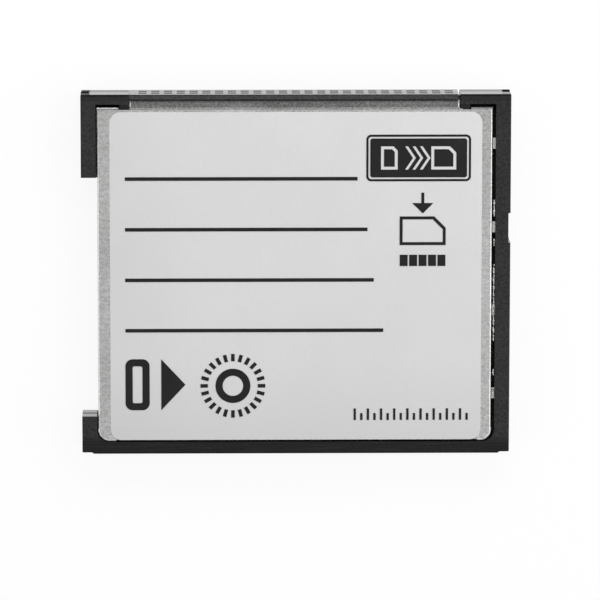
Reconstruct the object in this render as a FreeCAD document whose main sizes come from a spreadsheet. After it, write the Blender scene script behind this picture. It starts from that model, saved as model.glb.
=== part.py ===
import FreeCAD, Part
import math
import os
import Sketcher
from types import SimpleNamespace

# A thin memory card adapter. Its front edge is a 50 way socket, and a smaller memory card
# slides in through the open left side, between two steel covers.
# Millimetres. X runs across the width, Y towards the socket edge and Z out of the labelled face.
# The origin is at the middle of the underside.

SIZES = {
    # Moulded frame
    "card_height": 3.3,
    "left_rail": 1.5,
    "right_rail": 1.5,
    "rear_rail": 1.18,
    "block_depth": 0.99,
    "left_block_gap": 0.03,
    "right_block_gap": 0.23,
    "right_block_top_gap": 0.05,
    "foot_width": 0.95,
    "foot_depth": 0.45,
    "ledge_width": 0.6,
    "ledge_height": 1.4,
    "shelf_width": 0.4,
    "wall_thickness": 0.8,
    "rib_thickness": 0.8,
    "rib_count": 4,
    "corner_round": 0.12,
    "edge_chamfer": 0.08,
    # Guide grooves and key notch in the sides of the frame
    "groove_depth": 0.8,
    "left_groove_height": 1.16,
    "right_groove_height": 1.6,
    "right_groove_floor": 0.2,
    "right_groove_length": 25.78,
    "notch_from_front": 12.0,
    "notch_length": 3.0,
    "notch_depth": 0.2,
    "relief_depth": 0.14,
    "relief_width": 0.95,
    "relief_slope": 0.2,
    # Mouth and cavity for the smaller card
    "slot_width": 24.21,
    "slot_from_rear": 3.84,
    "small_card_length": 32.0,
    "stop_clearance": 0.2,
    # Steel covers
    "steel": 0.15,
    "cover_recess": 0.1,
    "cover_gap": 0.1,
    "right_gap": 0.3,
    "cover_corner": 1.1,
    "bend_round": 0.22,
    "corner_gap": 0.34,
    "tongue_length": 0.62,
    "tongue_drop": 0.15,
    "tongue_ease": 0.02,
    "lip_gap": 0.07,
    "tongue_gap": 0.06,
    "lance_length": 1.1,
    "lance_height": 0.3,
    "lance_bite": 0.1,
    "lance_recess": 0.15,
    "lance_count": 4,
    "film": 0.05,
    "film_reach": 5.0,
    # Label, set in from the edges of its cover
    "label_thickness": 0.07,
    "label_left_margin": 1.26,
    "label_right_margin": 1.07,
    "label_front_margin": 0.42,
    "label_rear_margin": 0.13,
    "label_corner": 1.1,
    # Print, each figure set in from the nearest edges of the label
    "ink": 0.03,
    "line_inset": 1.51,
    "line_from_front": 6.73,
    "line_pitch": 5.117,
    "line_thickness": 0.36,
    "first_line_length": 23.16,
    "second_line_length": 24.17,
    "third_line_length": 24.81,
    "fourth_line_length": 25.77,
    "badge_right_inset": 1.11,
    "badge_front_inset": 2.3,
    "badge_width": 10.42,
    "badge_height": 4.7,
    "badge_corner": 0.5,
    "badge_figure_height": 2.35,
    "badge_figure_inset": 1.46,
    "narrow_card_width": 1.67,
    "wide_card_width": 2.5,
    "chevron_pitch": 0.73,
    "chevron_depth": 0.78,
    "chevron_count": 3,
    "keyline": 0.22,
    "keyline_gap": 0.17,
    "stroke": 0.3,
    "bold_inset": 1.49,
    "bold_from_rear": 3.05,
    "bold_height": 5.2,
    "bold_width": 2.42,
    "bold_pitch": 3.58,
    "bold_stroke": 0.72,
    "picture_inset": 5.89,
    "picture_drop": 1.15,
    "picture_width": 4.6,
    "picture_card_height": 2.9,
    "arrow_height": 2.1,
    "arrow_wing": 1.05,
    "gauge_drop": 0.98,
    "gauge_height": 1.14,
    "gauge_cell": 0.8,
    "gauge_pitch": 0.9425,
    "gauge_count": 5,
    "dial_inset": 12.24,
    "dial_from_rear": 5.52,
    "dial_radius": 3.25,
    "dial_hub": 1.75,
    "tick_length": 0.75,
    "tick_width": 0.36,
    "dial_count": 24,
    "ruler_inset": 12.74,
    "ruler_from_rear": 2.0,
    "ruler_height": 1.17,
    "ruler_short_height": 0.7,
    "ruler_tick": 0.24,
    "ruler_pitch": 1.32,
    "ruler_count": 9,
    # Socket
    "way_count": 25,
    "way_pitch": 1.27,
    "row_pitch": 1.27,
    "way_size": 0.6,
    "lead_in": 0.1,
    "lead_in_depth": 0.25,
    "socket_left_end": 1.31,
    "socket_right_end": 0.89,
    "socket_depth": 5.6,
    "lip_depth": 0.62,
    "ear_front_gap": 0.2,
    "slack": 0.02,
    "contact_width": 0.5,
    "contact_sheet": 0.08,
    "contact_length": 3.7,
    "contact_setback": 1.2,
    "contact_base": 0.5,
    "tail_length": 1.1,
    "tail_sheet": 0.15,
    # Circuit board and its parts
    "board_thickness": 0.68,
    "board_side_width": 6.8,
    "board_strip_depth": 1.75,
    "board_gap": 0.1,
    "part_gap": 1.1,
    "controller_size": 5.0,
    "controller_height": 0.85,
    "pin_mark_inset": 0.75,
    "pin_mark_radius": 0.3,
    "pin_mark_depth": 0.1,
    "regulator_length": 2.9,
    "regulator_width": 1.6,
    "regulator_height": 0.9,
    "leg_size": 0.4,
    "leg_pitch": 0.95,
    "crystal_length": 3.2,
    "crystal_width": 2.5,
    "crystal_height": 0.8,
    "crystal_corner": 0.3,
    "chip_length": 1.6,
    "chip_width": 0.8,
    "chip_height": 0.45,
    "chip_cap": 0.3,
    "chip_column_gap": 0.8,
    "chip_pitch": 1.5,
    "chip_count": 5,
    # Card contacts and switches
    "spring_width": 0.8,
    "spring_sheet": 0.15,
    "spring_pitch": 2.5,
    "spring_count": 8,
    "last_spring_pitch": 1.7,
    "spring_reach": 4.5,
    "spring_rise": 0.45,
    "spring_pad": 1.0,
    "spring_gap": 0.15,
    "spring_slack": 0.1,
    "block_width": 1.5,
    "block_top_gap": 0.1,
    "switch_height": 0.75,
    "switch_sheet": 0.12,
    "switch_length": 5.4,
    "switch_reach": 0.3,
    "detect_from_stop": 9.3,
    "protect_from_stop": 19.3,
    "window_clearance": 0.25,
}

doc = FreeCAD.newDocument("MemoryCardAdapter")
sheet = doc.addObject("Spreadsheet::Sheet", "Sizes")


# A length that keeps both its number and the sheet formula that gives it.
class Size:
    def __init__(self, value, formula):
        self.value = value
        self.formula = formula

    def __add__(self, other):
        return combine(self, "+", other, self.value + number(other))

    def __radd__(self, other):
        return combine(other, "+", self, number(other) + self.value)

    def __sub__(self, other):
        return combine(self, "-", other, self.value - number(other))

    def __rsub__(self, other):
        return combine(other, "-", self, number(other) - self.value)

    def __mul__(self, other):
        return combine(self, "*", other, self.value * number(other))

    def __rmul__(self, other):
        return combine(other, "*", self, number(other) * self.value)

    def __truediv__(self, other):
        return combine(self, "/", other, self.value / number(other))

    def __neg__(self):
        return Size(-self.value, f"(-1 * {self.formula})")


def number(item):
    return item.value if isinstance(item, Size) else item


def formula(item):
    return item.formula if isinstance(item, Size) else f"({item})"


def combine(first, sign, second, value):
    return Size(value, f"({formula(first)} {sign} {formula(second)})")


def fill_sheet():
    sizes = {}
    for place, (name, value) in enumerate(SIZES.items(), start=1):
        sheet.set(f"A{place}", name)
        sheet.set(f"B{place}", str(value))
        sheet.setAlias(f"B{place}", name)
        sizes[name] = Size(value, f"Sizes.{name}")
    doc.recompute()
    return SimpleNamespace(**sizes)


s = fill_sheet()


# Tools for bodies, sketches and features

def bind(thing, target, size):
    if isinstance(size, Size):
        thing.setExpression(target, size.formula)


def new_body(label):
    body = doc.addObject("PartDesign::Body", label)
    body.Label = label
    return body


def origin_feature(body, role):
    return next(item for item in body.Origin.OriginFeatures if item.Role == role)


# Each loop is a list of corners. Every corner is held by its two distances from the origin.
def sketch(body, name, role, loops, lift=0, shift=(0, 0)):
    drawing = body.newObject("Sketcher::SketchObject", name)
    drawing.AttachmentSupport = [(origin_feature(body, role), "")]
    drawing.MapMode = "FlatFace"
    drawing.AttachmentOffset = FreeCAD.Placement(
        FreeCAD.Vector(number(shift[0]), number(shift[1]), number(lift)), FreeCAD.Rotation())
    bind(drawing, "AttachmentOffset.Base.x", shift[0])
    bind(drawing, "AttachmentOffset.Base.y", shift[1])
    bind(drawing, "AttachmentOffset.Base.z", lift)
    for loop in loops:
        draw_loop(drawing, loop)
    return drawing


def heading(start, end):
    difference = number(end) - number(start)
    return 0 if abs(difference) < 1e-9 else (1 if difference > 0 else -1)


# Where the line before a corner ends and the line after it starts. A corner with a third value
# is rounded to that radius, and its two lines run along the axes.
def corner_ends(loop, place):
    x, y, *rounding = loop[place]
    if not rounding:
        return [(x, y)]
    radius = rounding[0]
    before = loop[place - 1]
    after = loop[(place + 1) % len(loop)]
    return [(x - heading(before[0], x) * radius, y - heading(before[1], y) * radius),
            (x + heading(x, after[0]) * radius, y + heading(y, after[1]) * radius)]


def vector(point):
    return FreeCAD.Vector(number(point[0]), number(point[1]), 0)


def hold(drawing, shape, end, point):
    for kind, size in (("DistanceX", point[0]), ("DistanceY", point[1])):
        index = drawing.addConstraint(Sketcher.Constraint(kind, -1, 1, shape, end, number(size)))
        bind(drawing, f"Constraints[{index}]", size)


def draw_loop(drawing, loop):
    ends = [corner_ends(loop, place) for place in range(len(loop))]
    lines = []
    for place, pair in enumerate(ends):
        start, finish = pair[-1], ends[(place + 1) % len(loop)][0]
        line = drawing.addGeometry(Part.LineSegment(vector(start), vector(finish)))
        hold(drawing, line, 1, start)
        lines.append(line)
    for place, pair in enumerate(ends):
        before, after = lines[place - 1], lines[place]
        if len(pair) == 1:
            drawing.addConstraint(Sketcher.Constraint("Coincident", before, 2, after, 1))
        else:
            hold(drawing, before, 2, pair[0])
            round_corner(drawing, before, after, pair, loop[place])


def round_corner(drawing, before, after, pair, corner):
    radius = corner[2]
    start, finish = vector(pair[0]), vector(pair[1])
    centre = start + finish - vector(corner)
    outward = vector(corner) - centre
    crown = centre + outward * (number(radius) / outward.Length)
    arc = drawing.addGeometry(Part.Arc(start, crown, finish))
    first, last = (1, 2) if drawing.Geometry[arc].StartPoint.distanceToPoint(start) < 1e-6 else (2, 1)
    drawing.addConstraint(Sketcher.Constraint("Coincident", before, 2, arc, first))
    drawing.addConstraint(Sketcher.Constraint("Coincident", arc, last, after, 1))
    index = drawing.addConstraint(Sketcher.Constraint("Radius", arc, number(radius)))
    bind(drawing, f"Constraints[{index}]", radius)


def draw_circle(drawing, x, y, radius):
    circle = drawing.addGeometry(Part.Circle(FreeCAD.Vector(number(x), number(y), 0),
                                             FreeCAD.Vector(0, 0, 1), number(radius)))
    hold(drawing, circle, 3, (x, y))
    index = drawing.addConstraint(Sketcher.Constraint("Radius", circle, number(radius)))
    bind(drawing, f"Constraints[{index}]", radius)


def rectangle(left, right, low, high, *rounding):
    return [(left, low, *rounding), (right, low, *rounding), (right, high, *rounding),
            (left, high, *rounding)]


def pad(body, name, drawing, length, middle=False, backwards=False):
    feature = body.newObject("PartDesign::Pad", name)
    feature.Profile = drawing
    feature.Length = number(length)
    bind(feature, "Length", length)
    feature.Midplane = middle
    feature.Reversed = backwards
    return feature


# A cut must take something away, so the volume is compared before and after.
def pocket(body, name, drawing, length, backwards=False, middle=False):
    doc.recompute()
    before = body.Shape.Volume
    feature = body.newObject("PartDesign::Pocket", name)
    feature.Profile = drawing
    feature.Length = number(length)
    bind(feature, "Length", length)
    feature.Reversed = backwards
    feature.Midplane = middle
    doc.recompute()
    if before - feature.Shape.Volume < 1e-6:
        raise ValueError(f"{body.Label} {name} cuts nothing")
    return feature


def row(body, name, features, role, pitch, count):
    pattern = body.newObject("PartDesign::LinearPattern", name)
    pattern.Originals = features
    pattern.Direction = (origin_feature(body, role), [""])
    bind(pattern, "Length", pitch * (count - 1))
    bind(pattern, "Occurrences", count)
    body.Tip = pattern
    return pattern


def edges_where(feature, test):
    return [f"Edge{place}" for place, edge in enumerate(feature.Shape.Edges, start=1) if test(edge)]


def is_upright(edge):
    first, last = edge.Vertexes[0].Point, edge.Vertexes[-1].Point
    return abs(first.x - last.x) < 1e-6 and abs(first.y - last.y) < 1e-6 and abs(first.z - last.z) > 1e-6


def stands_at(edge, spots):
    if not is_upright(edge):
        return False
    point = edge.Vertexes[0].Point
    return any(abs(point.x - number(x)) < 1e-4 and abs(point.y - number(y)) < 1e-4 for x, y in spots)


def lies_at(edge, height):
    return all(abs(vertex.Point.z - number(height)) < 1e-6 for vertex in edge.Vertexes)


def round_edges(body, name, base, test, radius, kind="Fillet"):
    doc.recompute()
    feature = body.newObject(f"PartDesign::{kind}", name)
    feature.Base = (base, edges_where(base, test))
    target = "Radius" if kind == "Fillet" else "Size"
    setattr(feature, target, number(radius))
    bind(feature, target, radius)
    return feature


# Planes and edges that several pieces share

card_width = (s.small_card_length + s.stop_clearance + s.block_width + s.board_gap
              + s.board_side_width + s.board_gap + s.ledge_width + s.right_rail)
card_depth = (s.slot_from_rear + s.slot_width + s.wall_thickness + s.board_gap
              + s.board_strip_depth + s.board_gap + s.socket_depth)
half_width = card_width / 2
front = card_depth / 2
rear = -front
middle = s.card_height / 2

socket_half = s.way_pitch * (s.way_count - 1) / 2
socket_left = -socket_half - s.socket_left_end
socket_right = socket_half + s.socket_right_end

inner_left = s.left_rail - half_width
inner_right = half_width - s.right_rail
inner_rear = rear + s.rear_rail
inner_front = front - s.block_depth
foot_rear = inner_front - s.foot_depth
left_block_end = socket_left - s.left_block_gap
right_block_end = socket_right + s.right_block_gap
foot_left = left_block_end - s.foot_width
foot_right = right_block_end + s.foot_width

ledge_low = middle - s.ledge_height / 2
ledge_left = inner_left + s.ledge_width
ledge_right = inner_right - s.ledge_width
ledge_rear = inner_rear + s.ledge_width
ledge_front = inner_front - s.ledge_width

slot_rear = rear + s.slot_from_rear
slot_front = slot_rear + s.slot_width
slot_middle = slot_rear + s.slot_width / 2
wall_front = slot_front + s.wall_thickness
wall_rear = slot_rear - s.wall_thickness

cover_left = inner_left + s.cover_gap
cover_right = inner_right - s.right_gap
cover_rear = inner_rear + s.cover_gap
cover_front = inner_front - s.corner_gap
flange = ledge_low - s.cover_recess
inside_floor = s.cover_recess + s.steel
inside_roof = s.card_height - inside_floor
wall_floor = inside_floor + s.film
wall_roof = inside_roof - s.film

lance_pitch = (cover_front - cover_rear) / s.lance_count
first_lance = cover_rear + lance_pitch / 2
lower_lance_low = ledge_low - s.steel - s.lance_height
upper_lance_low = ledge_low + s.ledge_height + s.steel

stop_face = s.small_card_length - half_width + s.stop_clearance
block_back = stop_face + s.block_width
socket_rear = front - s.socket_depth
board_left = ledge_left + s.board_gap
board_right = ledge_right - s.board_gap
board_inner = block_back + s.board_gap
board_front = socket_rear - s.board_gap
board_strip_rear = wall_front + s.board_gap
board_rear = ledge_rear + s.board_gap
board_low = middle - s.board_thickness / 2
board_top = middle + s.board_thickness / 2

detect_root = stop_face - s.detect_from_stop
protect_root = stop_face - s.protect_from_stop

label_floor = s.card_height - s.cover_recess
ink_floor = label_floor + s.label_thickness
label_left = cover_left + s.label_left_margin
label_right = cover_right - s.label_right_margin
label_front = cover_front - s.label_front_margin
label_rear = cover_rear + s.label_rear_margin


# An edge that runs round the top or the bottom of the frame, on its outer side
def is_outer_rim(edge):
    if not (lies_at(edge, 0) or lies_at(edge, s.card_height)):
        return False
    reach = s.notch_depth + s.corner_round
    middle_point = edge.valueAt((edge.FirstParameter + edge.LastParameter) / 2)
    at_side = abs(middle_point.x) > number(half_width - reach)
    at_end = abs(middle_point.y) > number(front - reach)
    return at_side or at_end


# The moulded frame: two rails, the rear bar and the two front blocks, with the walls that guide
# the small card. The ledge carries the covers and the shelf carries the circuit board.
def make_frame():
    body = new_body("frame")
    relief = rear + s.relief_depth
    relief_end = s.relief_width + s.relief_slope
    right_side = [
        (inner_left, slot_rear), (inner_left, inner_rear), (inner_right, inner_rear),
        (inner_right, front), (half_width, front), (half_width, relief),
        (half_width - s.relief_width, relief), (half_width - relief_end, rear),
        (relief_end - half_width, rear), (s.relief_width - half_width, relief),
        (-half_width, relief), (-half_width, slot_rear)]
    left_side = rectangle(-half_width, inner_left, slot_front, front)
    drawing = sketch(body, "RailOutline", "XY_Plane", [right_side, left_side])
    rails = pad(body, "Rails", drawing, s.card_height)
    inner = [(inner_left, inner_rear), (inner_right, inner_rear)]
    round_edges(body, "InnerCorners", rails, lambda edge: stands_at(edge, inner),
                s.cover_corner + s.cover_gap)
    blocks = [rectangle(-half_width, left_block_end, inner_front, front),
              rectangle(right_block_end, half_width, inner_front, front)]
    pad(body, "Blocks", sketch(body, "BlockOutline", "XY_Plane", blocks), s.card_height)
    # The right block leans towards the socket, so the gap beside it is narrower at the top.
    lean = [(right_block_end, inside_floor), (right_block_end, inside_roof),
            (socket_right + s.right_block_top_gap, inside_roof)]
    drawing = sketch(body, "LeaningEndSection", "XZ_Plane", [lean], s.edge_chamfer - front)
    pad(body, "LeaningEnd", drawing, s.lip_depth - s.edge_chamfer)
    feet = [rectangle(foot_left, left_block_end, foot_rear, inner_front),
            rectangle(right_block_end, foot_right, foot_rear, inner_front)]
    solid = pad(body, "Feet", sketch(body, "FootOutline", "XY_Plane", feet), s.card_height)

    key = [rectangle(half_width - s.notch_depth, half_width + s.notch_depth,
                     front - s.notch_from_front - s.notch_length, front - s.notch_from_front)]
    solid = pocket(body, "KeyNotch", sketch(body, "NotchOutline", "XY_Plane", key), s.card_height,
                   backwards=True)
    outer = [(-half_width, front), (half_width, front), (-half_width, relief), (half_width, relief)]
    solid = round_edges(body, "OuterCorners", solid, lambda edge: stands_at(edge, outer), s.corner_round)
    round_edges(body, "SoftEdges", solid, is_outer_rim, s.edge_chamfer, "Chamfer")

    walls = [rectangle(inner_left, block_back, slot_front, wall_front),
             rectangle(inner_left, block_back, wall_rear, slot_rear)]
    pad(body, "Walls", sketch(body, "WallOutline", "XY_Plane", walls, wall_floor), wall_roof - wall_floor)

    right_ledge = [
        (inner_left, slot_rear), (inner_left, inner_rear), (inner_right, inner_rear),
        (inner_right, inner_front), (ledge_right, inner_front), (ledge_right, ledge_rear),
        (ledge_left, ledge_rear), (ledge_left, slot_rear)]
    left_ledge = rectangle(inner_left, ledge_left, slot_front, inner_front)
    drawing = sketch(body, "LedgeOutline", "XY_Plane", [right_ledge, left_ledge], ledge_low)
    pad(body, "Ledge", drawing, s.ledge_height)
    front_ledges = [rectangle(inner_left, foot_left, ledge_front, inner_front),
                    rectangle(foot_right, inner_right, ledge_front, inner_front)]
    drawing = sketch(body, "FrontLedgeOutline", "XY_Plane", front_ledges, ledge_low)
    pad(body, "FrontLedge", drawing, s.ledge_height)

    shelf_right = ledge_right - s.shelf_width
    shelf_rear = ledge_rear + s.shelf_width
    right_shelf = [
        (board_inner, ledge_rear), (ledge_right, ledge_rear), (ledge_right, board_front),
        (shelf_right, board_front), (shelf_right, shelf_rear), (board_inner, shelf_rear)]
    left_shelf = [
        (ledge_left, wall_front), (block_back, wall_front), (block_back, wall_front + s.shelf_width),
        (ledge_left + s.shelf_width, wall_front + s.shelf_width),
        (ledge_left + s.shelf_width, board_front), (ledge_left, board_front)]
    drawing = sketch(body, "ShelfOutline", "XY_Plane", [right_shelf, left_shelf], ledge_low)
    pad(body, "Shelf", drawing, board_low - ledge_low)

    # Bars under the board join the two sides of the frame.
    bars = [rectangle(block_back - s.wall_thickness, ledge_right, slot_front, wall_front),
            rectangle(block_back - s.wall_thickness, ledge_right, wall_rear, slot_rear)]
    drawing = sketch(body, "CrossBarOutline", "XY_Plane", bars, ledge_low)
    pad(body, "CrossBars", drawing, board_low - ledge_low)

    rib_pitch = (block_back - ledge_left) / s.rib_count
    rib_left = ledge_left + rib_pitch / 2
    ribs = [rectangle(rib_left, rib_left + s.rib_thickness, ledge_rear, wall_rear)]
    rib = pad(body, "Rib", sketch(body, "RibOutline", "XY_Plane", ribs, ledge_low), s.ledge_height)
    row(body, "Ribs", [rib], "X_Axis", rib_pitch, s.rib_count)

    recess = rectangle(inner_right - s.right_gap / 2, inner_right + s.lance_recess,
                       first_lance - s.slack, first_lance + s.lance_length + s.slack)
    cuts = []
    for name, lance_low in (("UpperRecess", upper_lance_low), ("LowerRecess", lower_lance_low)):
        drawing = sketch(body, f"{name}Outline", "XY_Plane", [recess], lance_low - s.slack)
        cuts.append(pocket(body, name, drawing, s.lance_height + 2 * s.slack, backwards=True))
    row(body, "LanceRecesses", cuts, "Y_Axis", lance_pitch, s.lance_count)

    groove_low = middle - s.left_groove_height / 2
    left = [rectangle(-half_width - s.groove_depth, s.groove_depth - half_width,
                      groove_low, groove_low + s.left_groove_height)]
    drawing = sketch(body, "LeftGrooveSection", "XZ_Plane", left, -front)
    pocket(body, "LeftGroove", drawing, front - slot_front, backwards=True)
    right = [rectangle(half_width - s.groove_depth, half_width + s.groove_depth,
                       s.right_groove_floor, s.right_groove_floor + s.right_groove_height)]
    drawing = sketch(body, "RightGrooveSection", "XZ_Plane", right, -front)
    pocket(body, "RightGroove", drawing, s.right_groove_length, backwards=True)

    windows = [rectangle(place - s.switch_length - s.window_clearance, place + s.window_clearance,
                         slot_front - s.wall_thickness, wall_front + s.window_clearance / 2)
               for place in (detect_root, protect_root)]
    drawing = sketch(body, "WindowOutline", "XY_Plane", windows, board_top)
    pocket(body, "SwitchWindows", drawing, wall_roof - board_top, backwards=True)
    return body


# A cover: a sheet pan with its flanges turned in. It has a tongue that dips behind the socket's
# lip, notches for the frame's feet, and no flange across the mouth.
def make_cover(label, top):
    body = new_body(label)
    sign = 1 if top else -1
    outer_face = s.card_height - s.cover_recess if top else s.cover_recess
    low = outer_face - flange if top else outer_face
    rim = low if top else low + flange
    outline = [
        (cover_left, cover_rear, s.cover_corner), (cover_right, cover_rear, s.cover_corner),
        (cover_right, cover_front), (cover_left, cover_front)]
    pan = pad(body, "Pan", sketch(body, "PanOutline", "XY_Plane", [outline], low), flange)
    round_edges(body, "Bends", pan, lambda edge: lies_at(edge, outer_face), s.bend_round)

    inner_corner = s.cover_corner - s.steel
    hollow = [
        (cover_left + s.steel, cover_rear + s.steel, inner_corner),
        (cover_right - s.steel, cover_rear + s.steel, inner_corner),
        (cover_right - s.steel, cover_front - s.steel), (cover_left + s.steel, cover_front - s.steel)]
    drawing = sketch(body, "HollowOutline", "XY_Plane", [hollow], rim)
    pocket(body, "Hollow", drawing, flange - s.steel, backwards=top)
    mouth = [rectangle(cover_left - s.cover_gap, cover_left + 2 * s.steel,
                       wall_rear - s.board_gap, wall_front + s.board_gap)]
    drawing = sketch(body, "MouthOutline", "XY_Plane", mouth, rim)
    pocket(body, "Mouth", drawing, flange - s.steel, backwards=top)
    notch_rear = foot_rear - s.cover_gap
    notch = [rectangle(foot_left - s.cover_gap, foot_right + s.cover_gap, notch_rear,
                       cover_front + s.cover_gap)]
    drawing = sketch(body, "FootNotch", "XY_Plane", notch, rim)
    pocket(body, "FootNotches", drawing, flange, backwards=top)

    under = outer_face - sign * s.steel
    tongue_left = left_block_end + s.tongue_gap
    tongue_right = socket_right
    tongue_tip = front - s.lip_depth - s.lip_gap
    tongue_start = tongue_tip - s.tongue_length
    drop = sign * s.tongue_drop
    ease = sign * s.tongue_ease
    section = [
        (notch_rear, outer_face), (notch_rear, under), (tongue_start, under - ease),
        (tongue_tip, under - drop), (tongue_tip, outer_face - drop), (tongue_start, outer_face - ease)]
    drawing = sketch(body, "TongueSection", "YZ_Plane", [section], tongue_left)
    pad(body, "Tongue", drawing, tongue_right - tongue_left)

    # Lances pressed out of the right flange snap into the frame's recesses.
    lance_low = upper_lance_low if top else lower_lance_low
    drawing = sketch(body, "LanceOutline", "XY_Plane",
                     [rectangle(cover_right - s.steel, inner_right + s.lance_bite, first_lance,
                                first_lance + s.lance_length)], lance_low)
    lance = pad(body, "Lance", drawing, s.lance_height)
    row(body, "Lances", [lance], "Y_Axis", lance_pitch, s.lance_count)
    return body


def make_film(label, low):
    body = new_body(label)
    inner = block_back - s.film_reach
    outline = [
        (board_left, board_front), (board_right, board_front), (board_right, board_rear),
        (inner, board_rear), (inner, board_strip_rear), (board_left, board_strip_rear)]
    pad(body, "Film", sketch(body, "FilmOutline", "XY_Plane", [outline], low), s.film)
    return body


def make_back_label():
    body = new_body("back_label")
    outline = rectangle(label_left, label_right, label_rear, label_front, s.label_corner)
    drawing = sketch(body, "LabelOutline", "XY_Plane", [outline], label_floor)
    pad(body, "Stock", drawing, s.label_thickness)
    return body


# The print: four writing lines, a framed badge and plain figures in place of marks and words.
# What is light in the badge is an opening, where the label shows through.
def make_label_print():
    body = new_body("label_print")

    def ink(name, loops):
        return pad(body, name, sketch(body, f"{name}Outline", "XY_Plane", loops, ink_floor), s.ink)

    line_left = label_left + s.line_inset
    lengths = [s.first_line_length, s.second_line_length, s.third_line_length, s.fourth_line_length]
    lines = []
    for place, length in enumerate(lengths):
        low = label_front - s.line_from_front - s.line_pitch * place - s.line_thickness / 2
        lines.append(rectangle(line_left, line_left + length, low, low + s.line_thickness))
    ink("WritingLines", lines)

    badge_left = label_right - s.badge_right_inset - s.badge_width
    badge_low = label_front - s.badge_front_inset - s.badge_height
    ink("Keyline", [badge_loop(badge_left, badge_low, 0, s.badge_corner),
                    badge_loop(badge_left, badge_low, s.keyline, s.badge_corner - s.keyline)])
    tall = s.badge_figure_height
    low = badge_low + (s.badge_height - tall) / 2
    narrow_left = badge_left + s.badge_figure_inset
    wide_left = badge_left + s.badge_width - s.badge_figure_inset - s.wide_card_width
    figures = [badge_loop(badge_left, badge_low, s.keyline + s.keyline_gap, s.badge_corner / 2)]
    figures += card_figure(narrow_left, low, s.narrow_card_width, tall)
    figures += card_figure(wide_left, low, s.wide_card_width, tall)
    for place in range(1, SIZES["chevron_count"] + 1):
        left = narrow_left + s.narrow_card_width + s.chevron_pitch * place
        figures.append(chevron(left, low, tall))
    ink("Badge", figures)

    picture_middle = label_right - s.picture_inset
    picture_top = badge_low - s.picture_drop
    arrow_low = picture_top - s.arrow_height
    picture_low = arrow_low - s.stroke - s.picture_card_height
    ink("Picture", [
        *card_figure(picture_middle - s.picture_width / 2, picture_low, s.picture_width,
                     s.picture_card_height),
        arrow(picture_middle, arrow_low)])
    gauge_left = picture_middle - (s.gauge_pitch * (s.gauge_count - 1) + s.gauge_cell) / 2
    gauge_top = picture_low - s.gauge_drop
    cell = ink("GaugeCell", [rectangle(gauge_left, gauge_left + s.gauge_cell,
                                       gauge_top - s.gauge_height, gauge_top)])
    row(body, "Gauge", [cell], "X_Axis", s.gauge_pitch, s.gauge_count)

    left = label_left + s.bold_inset
    low = label_rear + s.bold_from_rear
    outer = rectangle(left, left + s.bold_width, low, low + s.bold_height, s.bold_stroke)
    inner = rectangle(left + s.bold_stroke, left + s.bold_width - s.bold_stroke, low + s.bold_stroke,
                      low + s.bold_height - s.bold_stroke, s.bold_stroke / 4)
    left += s.bold_pitch
    wedge = [(left, low), (left + s.bold_width, low + s.bold_height / 2), (left, low + s.bold_height)]
    ink("BoldFigures", [outer, inner, wedge])

    dial_x = label_left + s.dial_inset
    dial_y = label_rear + s.dial_from_rear
    hub = sketch(body, "HubOutline", "XY_Plane", [], ink_floor)
    draw_circle(hub, dial_x, dial_y, s.dial_hub)
    draw_circle(hub, dial_x, dial_y, s.dial_hub - s.bold_stroke)
    pad(body, "Hub", hub, s.ink)
    tick_loop = rectangle(s.dial_radius - s.tick_length, s.dial_radius, -s.tick_width / 2, s.tick_width / 2)
    drawing = sketch(body, "TickOutline", "XY_Plane", [tick_loop], ink_floor, (dial_x, dial_y))
    tick = pad(body, "Tick", drawing, s.ink)
    ring = body.newObject("PartDesign::PolarPattern", "Ticks")
    ring.Originals = [tick]
    ring.Axis = (drawing, ["N_Axis"])
    ring.Angle = 360
    bind(ring, "Occurrences", s.dial_count)
    body.Tip = ring

    left = label_right - s.ruler_inset
    low = label_rear + s.ruler_from_rear
    between = left + s.ruler_pitch / 2
    marks = ink("RulerMarks", [
        rectangle(left, left + s.ruler_tick, low, low + s.ruler_height),
        rectangle(between, between + s.ruler_tick, low, low + s.ruler_short_height)])
    row(body, "Ruler", [marks], "X_Axis", s.ruler_pitch, s.ruler_count)
    return body


def badge_loop(left, low, inset, corner):
    return rectangle(left + inset, left + s.badge_width - inset, low + inset,
                     low + s.badge_height - inset, corner)


# A memory card in outline, with one cut corner
def card_figure(left, low, width, height):
    cut = width / 4
    right, high = left + width, low + height
    thin = s.stroke
    outer = [(left, low), (right, low), (right, high - cut), (right - cut, high), (left, high)]
    inner = [(left + thin, low + thin), (right - thin, low + thin), (right - thin, high - cut - thin / 2),
             (right - cut - thin / 2, high - thin), (left + thin, high - thin)]
    return [outer, inner]


def chevron(left, low, height):
    point = left + s.chevron_depth
    return [(left, low), (left + s.stroke, low), (point + s.stroke, low + height / 2),
            (left + s.stroke, low + height), (left, low + height), (point, low + height / 2)]


def arrow(centre, low):
    wing = s.arrow_wing
    shaft = s.stroke / 2
    high = low + s.arrow_height
    return [(centre, low), (centre + wing, low + wing), (centre + shaft, low + wing),
            (centre + shaft, high), (centre - shaft, high),
            (centre - shaft, low + wing), (centre - wing, low + wing)]


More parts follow.
